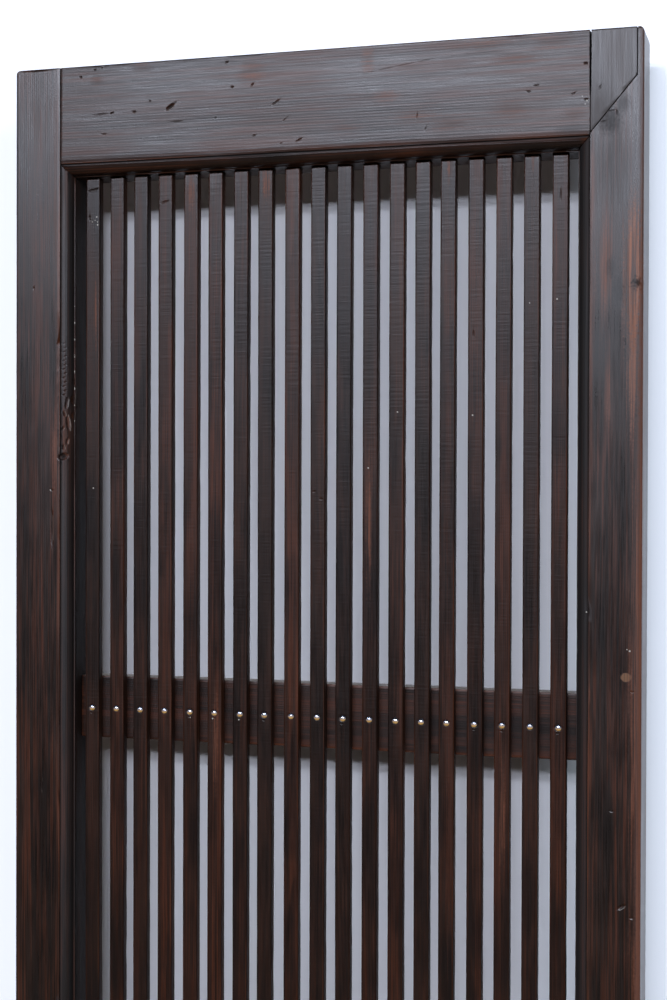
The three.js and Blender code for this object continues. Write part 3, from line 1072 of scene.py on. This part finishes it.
class LATTICEDOOR_OT_stiles(bpy.types.Operator):
    """Make the two worn stiles"""

    bl_idname = "lattice_door.stiles"
    bl_label = "Stiles"

    def execute(self, context):
        face_cuts = [3 * MM, 10 * MM, 18 * MM, 26 * MM, 34 * MM, 43 * MM]
        heights = even_places(0.0, LEAF_TOP, 12 * MM)
        depths = even_places(FRONT_Y, BACK_Y, 12 * MM)

        def finish_stile(bm):
            # Painted shade in the quirk, on the inner side faces and on the moulding
            shade_quirk(bm, "X", SHOULDER_X)
            shade_sides(bm, STILE_INNER_X + MM, STILE_SIDE_SHADE)
            shade_moulding(bm)

        for node, side, marks, seed in (
            ("left_stile", -1, LEFT_STILE_MARKS, 1.0),
            ("right_stile", 1, RIGHT_STILE_MARKS, 2.0),
        ):
            places = {"X": [side * (HALF_WIDTH - cut) for cut in face_cuts], "Y": depths, "Z": heights}
            dress_member(node, marks, places, "Stile Wood", seed,
                         reshape=finish_stile)
        return {"FINISHED"}


class LATTICEDOOR_OT_patch(bpy.types.Operator):
    """Make the repair let into the right stile"""

    bl_idname = "lattice_door.patch"
    bl_label = "Stile Repair"

    def execute(self, context):
        places = {
            "X": even_places(PATCH_LOW.x, PATCH_HIGH.x, 6 * MM, 2 * MM),
            "Z": even_places(PATCH_LOW.z, PATCH_HIGH.z, 5 * MM, 2 * MM),
        }
        dress_member("right_stile_patch", PATCH_MARKS, places, "Patch Wood", 3.0,
                     reshape=lambda bm: open_crack(bm, 1))
        return {"FINISHED"}


class LATTICEDOOR_OT_rails(bpy.types.Operator):
    """Make the worn top and bottom rails"""

    bl_idname = "lattice_door.rails"
    bl_label = "Rails"

    def execute(self, context):
        moulding = SHOULDER_X - STILE_INNER_X

        def finish_top(bm):
            shade_quirk(bm, "Z", RAIL_LOW.z + moulding)
            open_crack(bm, -1)

        def finish_bottom(bm):
            shade_quirk(bm, "Z", BOTTOM_RAIL_HIGH.z - moulding)

        for node, marks, seed, reshape in (
            ("top_rail", TOP_RAIL_MARKS, 4.0, finish_top),
            ("bottom_rail", BOTTOM_RAIL_MARKS, 5.0, finish_bottom),
        ):
            low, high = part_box(node)
            places = {
                "X": even_places(-SHOULDER_X, SHOULDER_X, 7 * MM),
                "Y": even_places(FRONT_Y, BACK_Y, 12 * MM),
                "Z": even_places(low.z, high.z, 7 * MM),
            }
            dress_member(node, marks, places, "Rail Wood", seed, reshape)
        return {"FINISHED"}


def dust_and_light_on_top(bm):
    """Pale dust, with painted light, on an upward face."""
    pale = bm.verts.layers.float["fleck"]
    bm.normal_update()
    for vert in bm.verts:
        if vert.normal.z > 0.9:
            # Dust, and painted light where the top catches the lamps
            vert[pale] = DUST_AND_LIGHT


class LATTICEDOOR_OT_mid_rails(bpy.types.Operator):
    """Make the flat rails behind the slats"""

    bl_idname = "lattice_door.mid_rails"
    bl_label = "Mid Rails"

    def execute(self, context):
        for index, node in enumerate(MID_RAILS):
            low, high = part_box(node)
            places = {
                "X": even_places(-STILE_INNER_X, STILE_INNER_X, 9 * MM),
                "Z": even_places(low.z, high.z, 9 * MM),
            }
            dress_member(node, [], places, "Mid Rail Wood", 6.0 + index, reshape=dust_and_light_on_top)
        return {"FINISHED"}


def nail_height(rail):
    low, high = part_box(rail)
    return 0.5 * (low.z + high.z)


def bend_slat(bm, index):
    """Bows a slat sideways between its ends."""
    bow = bpy.context.scene.lattice_door_joinery.slat_bow
    low, high = SLAT_LOW.z, SLAT_HIGH.z
    size = bow * (0.35 + 0.65 * noise.noise(Vector((index * 5.3, 0.7, 0.2))))
    waves = 1 + index % 2
    for vert in bm.verts:
        share = (vert.co.z - low) / (high - low)
        vert.co.x += size * math.sin(math.pi * waves * share)
    # Painted shade on the slat's side faces
    shade_sides(bm, STILE_INNER_X, SLAT_SIDE_SHADE)


# The wood pressed in round a nail: its width and depth in mm, and its share on a sound slat
RING_WIDTH = 6.8
RING_DEPTH = 0.8
SOUND_SHARE = 0.55


class LATTICEDOOR_OT_slats(bpy.types.Operator):
    """Make the upright slats, bowed and worn, each its own piece"""

    bl_idname = "lattice_door.slats"
    bl_label = "Slats"

    def execute(self, context):
        nail_below = [(LEAF_TOP - nail_height(rail)) / MM for rail in MID_RAILS]
        for index, node in enumerate(SLAT_NAMES, 1):
            low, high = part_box(node)
            middle = 0.5 * (low.x + high.x) / MM
            bruise = 1.0 if index in BRUISED_SLATS else SOUND_SHARE
            marks = list(SLAT_MARKS.get(index, []))
            marks += [Mark(middle, below, RING_WIDTH, RING_WIDTH, RING_DEPTH * bruise, 0)
                      for below in nail_below]
            if index in BRUISED_SLATS:
                marks.append(Mark(middle - 0.6, nail_below[0] + 4.8, 2.2, 1.6, 1.0, 0))
            places = {
                "X": even_places(low.x, high.x, 4 * MM, 1.8 * MM),
                "Z": even_places(low.z, high.z, 14 * MM),
            }
            dress_member(node, marks, places, "Slat Wood", 10.0 + 1.37 * index,
                         reshape=lambda bm, number=index: bend_slat(bm, number))
        return {"FINISHED"}


# Steps from a head's rim to its top and round it
DOME_STEPS = 7
ROUND_STEPS = 20
# The dressed head's radius, as a share of the CAD head's width
HEAD_SHARE = 0.54
# How far a nail strays sideways, in mm, how far it leans, and how much deeper than set it sits
NAIL_STRAY = 0.3
NAIL_LEAN = 0.12
NAIL_ROOT = 0.2 * MM


def nail_bmesh(centre, radius, height, sink, tilt):
    """A domed head turned about its own axis, with a rounded rim, sunk into the slat."""
    bm = bmesh.new()
    last = None
    profile = [(0.0, sink), (radius * 0.8, sink), (radius * 0.97, sink * 0.4)]
    for i in range(DOME_STEPS + 1):
        angle = 0.5 * math.pi * i / DOME_STEPS
        profile.append((radius * math.cos(angle), -height * math.sin(angle)))
    profile[-1] = (0.0, -height)
    edges = []
    for reach, depth in profile:
        vert = bm.verts.new((reach, depth, 0.0))
        if last:
            edges.append(bm.edges.new((last, vert)))
        last = vert
    bmesh.ops.spin(bm, geom=bm.verts[:] + edges, cent=(0, 0, 0), axis=(0, 1, 0), angle=2 * math.pi,
                   steps=ROUND_STEPS, use_merge=True, use_duplicate=False)
    bmesh.ops.remove_doubles(bm, verts=bm.verts, dist=WELD)
    bmesh.ops.recalc_face_normals(bm, faces=bm.faces)
    add_layers(bm)
    # Painted warm reflection on the lower half of the head
    warm_reflection = bm.verts.layers.float["dirt"]
    for vert in bm.verts:
        vert[warm_reflection] = min(1.0, max(0.0, 0.5 - 1.2 * vert.co.z / radius))
    lean = Matrix.Rotation(tilt, 4, "X") @ Matrix.Rotation(tilt * 0.7, 4, "Z")
    bmesh.ops.transform(bm, matrix=Matrix.Translation(centre) @ lean, verts=bm.verts)
    return bm


class LATTICEDOOR_OT_nails(bpy.types.Operator):
    """Make the domed nail heads of both mid rails"""

    bl_idname = "lattice_door.nails"
    bl_label = "Nails"

    def execute(self, context):
        sink = context.scene.lattice_door_joinery.nail_sink
        low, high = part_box("nail_01")
        radius = HEAD_SHARE * (high.x - low.x)
        height = high.y - low.y
        for row, rail in enumerate(MID_RAILS):
            for index, slat in enumerate(SLAT_NAMES, 1):
                slat_low, slat_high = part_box(slat)
                stray = noise.noise(Vector((index * 3.7, row * 9.1, 0.4)))
                middle = 0.5 * (slat_low.x + slat_high.x)
                centre = Vector((middle + NAIL_STRAY * stray * MM, slat_low.y, nail_height(rail)))
                bm = nail_bmesh(centre, radius, height, sink + NAIL_ROOT, NAIL_LEAN * stray)
                nodes = [f"nail_{index:02d}"] if row == 0 else []
                prefix = "upper" if row == 0 else "lower"
                finish_piece(bm, f"{prefix}_nail_head_{index:02d}", nodes, "Nail Metal",
                             float(index))
        return {"FINISHED"}


# Stage

FLOOR_PAINT = (0.85, 0.85, 0.84)
BACKDROP_PAINT = (0.86, 0.87, 0.89)
LIGHT_TARGET = Vector((0.0, 0.0, 1.4))
# Soft lights: name, place, width and height, the setting of its power, colour, and whether the
# finish mirrors it
LIGHTS = [
    ("low_strip_light", (-0.5, -12.0, 4.95), (12.5, 0.7), "strip_power", (0.82, 0.86, 1.0), True),
    ("high_strip_light", (-0.5, -12.0, 6.15), (12.5, 0.7), "strip_power", (0.82, 0.86, 1.0), True),
    ("side_light", (4.6, -3.6, 3.6), (2.5, 2.5), "side_power", (0.7, 0.85, 1.0), False),
    ("back_light", (-1.6, 3.2, 2.6), (2.5, 2.0), "back_power", (1.0, 0.98, 0.96), True),
]


def stage_material(name, colour, one_sided):
    """Plain pale paint. One-sided paint shows from the front alone and lets light through.
    The floor's paint throws back less light than it shows."""
    material, tree, shader = new_material(name)
    shader.inputs["Base Color"].default_value = opaque(colour)
    shader.inputs["Roughness"].default_value = 0.8
    shader.inputs["Specular IOR Level"].default_value = 0.2
    path = tree.nodes.new("ShaderNodeLightPath").outputs
    if one_sided:
        clear = tree.nodes.new("ShaderNodeBsdfTransparent")
        mixed = tree.nodes.new("ShaderNodeMixShader")
        behind = tree.nodes.new("ShaderNodeNewGeometry").outputs["Backfacing"]
        feed(tree, mixed.inputs[0], math_node(tree, "MAXIMUM", behind, path["Is Shadow Ray"]))
        tree.links.new(shader.outputs[0], mixed.inputs[1])
        tree.links.new(clear.outputs[0], mixed.inputs[2])
        output = next(node for node in tree.nodes if node.type == "OUTPUT_MATERIAL")
        tree.links.new(mixed.outputs[0], output.inputs["Surface"])
    else:
        feed(tree, shader.inputs["Base Color"],
             mix_colour(tree, path["Is Camera Ray"], opaque(FLOOR_BOUNCE), opaque(colour)))
    return material


def stage_plane(name, corners, material):
    bm = bmesh.new()
    bm.faces.new([bm.verts.new(corner) for corner in corners])
    mesh = bpy.data.meshes.new(name)
    bm.to_mesh(mesh)
    bm.free()
    mesh.materials.append(material)
    plane = bpy.data.objects.new(name, mesh)
    bpy.context.scene.collection.objects.link(plane)
    return plane


def area_light(name, place, size, power, colour, mirrored):
    light = bpy.data.lights.new(name, "AREA")
    light.shape = "RECTANGLE"
    light.size, light.size_y = size
    light.energy = power
    light.color = colour
    lamp = bpy.data.objects.new(name, light)
    lamp.location = place
    lamp.rotation_euler = (LIGHT_TARGET - Vector(place)).to_track_quat("-Z", "Y").to_euler()
    lamp.visible_camera = False
    lamp.visible_glossy = mirrored
    bpy.context.scene.collection.objects.link(lamp)


# The photograph's viewpoint: metres right of the leaf's middle, in front of its face and
# below its top, then degrees turned left, tipped down and rolled, and the lens
CAMERA_RIGHT = 0.452
CAMERA_AWAY = 1.473
CAMERA_BELOW_TOP = 0.3955
CAMERA_TURN = 16.32
CAMERA_TIP = 0.64
CAMERA_ROLL = 0.16
CAMERA_LENS = 60.4


def make_camera():
    data = bpy.data.cameras.new("Camera")
    data.lens = CAMERA_LENS
    data.sensor_width = 36.0
    data.clip_start = 0.05
    camera = bpy.data.objects.new("Camera", data)
    turn, tip, roll = (math.radians(a) for a in (CAMERA_TURN, CAMERA_TIP, CAMERA_ROLL))
    ahead = Vector((-math.sin(turn) * math.cos(tip), math.cos(turn) * math.cos(tip), -math.sin(tip)))
    right = Vector((math.cos(turn), math.sin(turn), 0.0))
    up = right.cross(ahead)
    right, up = (
        math.cos(roll) * right + math.sin(roll) * up,
        math.cos(roll) * up - math.sin(roll) * right,
    )
    place = Vector((CAMERA_RIGHT, FRONT_Y - CAMERA_AWAY, LEAF_TOP - CAMERA_BELOW_TOP))
    axes = Matrix((right, up, -ahead)).transposed().to_4x4()
    camera.matrix_world = Matrix.Translation(place) @ axes
    bpy.context.scene.collection.objects.link(camera)
    bpy.context.scene.camera = camera


def make_world():
    """Seen as plain and pale. Lights the leaf brighter from behind and above than from below."""
    stage = bpy.context.scene.lattice_door_stage
    world = bpy.data.worlds.new("Pale Surroundings")
    world.use_nodes = True
    tree = world.node_tree
    axes = tree.nodes.new("ShaderNodeSeparateXYZ")
    feed(tree, axes.inputs[0], tree.nodes.new("ShaderNodeTexCoord").outputs["Generated"])
    above = remap(tree, axes.outputs["Z"], -0.1, 0.4)
    front = mix_colour(tree, above, opaque(stage.lower_light), opaque(stage.upper_light))
    behind = remap(tree, axes.outputs["Y"], -0.05, 0.25)
    light = mix_colour(tree, behind, front, opaque(stage.rear_light))
    seen = tree.nodes.new("ShaderNodeLightPath").outputs["Is Camera Ray"]
    feed(tree, tree.nodes["Background"].inputs["Color"],
         mix_colour(tree, seen, light, opaque(stage.surroundings)))
    bpy.context.scene.world = world


class LATTICEDOOR_OT_stage(bpy.types.Operator):
    """Make the floor, the backdrop, the lights and the camera"""

    bl_idname = "lattice_door.stage"
    bl_label = "Stage"

    def execute(self, context):
        stage = context.scene.lattice_door_stage
        floor = stage_material("Stage Floor", FLOOR_PAINT, False)
        half = 0.5 * stage.floor_size
        stage_plane("stage_floor",
                    [(-half, -half, 0), (half, -half, 0), (half, half, 0), (-half, half, 0)], floor)
        wall = stage_material("Stage Backdrop", BACKDROP_PAINT, True)
        half = 0.5 * stage.wall_size
        foot = BACK_Y + stage.backdrop_gap + stage.backdrop_lean * LEAF_TOP
        head = foot - stage.backdrop_lean * half
        stage_plane("stage_backdrop",
                    [(-half, foot, 0), (half, foot, 0), (half, head, half), (-half, head, half)], wall)
        for name, place, size, power, colour, mirrored in LIGHTS:
            area_light(name, place, size, getattr(stage, power), colour, mirrored)
        make_world()
        context.scene.view_settings.view_transform = "Standard"
        context.scene.cycles.use_denoising = True
        make_camera()
        return {"FINISHED"}


OPERATORS = [
    LATTICEDOOR_OT_stage,
    LATTICEDOOR_OT_stiles,
    LATTICEDOOR_OT_patch,
    LATTICEDOOR_OT_rails,
    LATTICEDOOR_OT_mid_rails,
    LATTICEDOOR_OT_slats,
    LATTICEDOOR_OT_nails,
]
SETTINGS = {
    "lattice_door_joinery": LatticeDoorJoinery,
    "lattice_door_finish": LatticeDoorFinish,
    "lattice_door_stage": LatticeDoorStage,
}


class LATTICEDOOR_PT_panel(bpy.types.Panel):
    """Lists the door's settings and pieces in the sidebar"""

    bl_idname = "LATTICEDOOR_PT_panel"
    bl_label = "Lattice Door"
    bl_space_type = "VIEW_3D"
    bl_region_type = "UI"
    bl_category = "Lattice Door"

    def draw(self, context):
        for group_name in SETTINGS:
            group = getattr(context.scene, group_name)
            column = self.layout.column(align=True)
            for prop in group.bl_rna.properties:
                if prop.identifier not in ("rna_type", "name"):
                    column.prop(group, prop.identifier)
        for operator in OPERATORS:
            self.layout.operator(operator.bl_idname)


def register():
    for cls in (*SETTINGS.values(), *OPERATORS, LATTICEDOOR_PT_panel):
        bpy.utils.register_class(cls)
    for name, cls in SETTINGS.items():
        setattr(bpy.types.Scene, name, PointerProperty(type=cls))


def unregister():
    for name in SETTINGS:
        delattr(bpy.types.Scene, name)
    for cls in (LATTICEDOOR_PT_panel, *reversed(OPERATORS), *SETTINGS.values()):
        bpy.utils.unregister_class(cls)


def main():
    register()
    bpy.ops.lattice_door.stage()
    bpy.ops.lattice_door.stiles()
    bpy.ops.lattice_door.patch()
    bpy.ops.lattice_door.rails()
    bpy.ops.lattice_door.mid_rails()
    bpy.ops.lattice_door.slats()
    bpy.ops.lattice_door.nails()


if __name__ == "__main__":
    main()
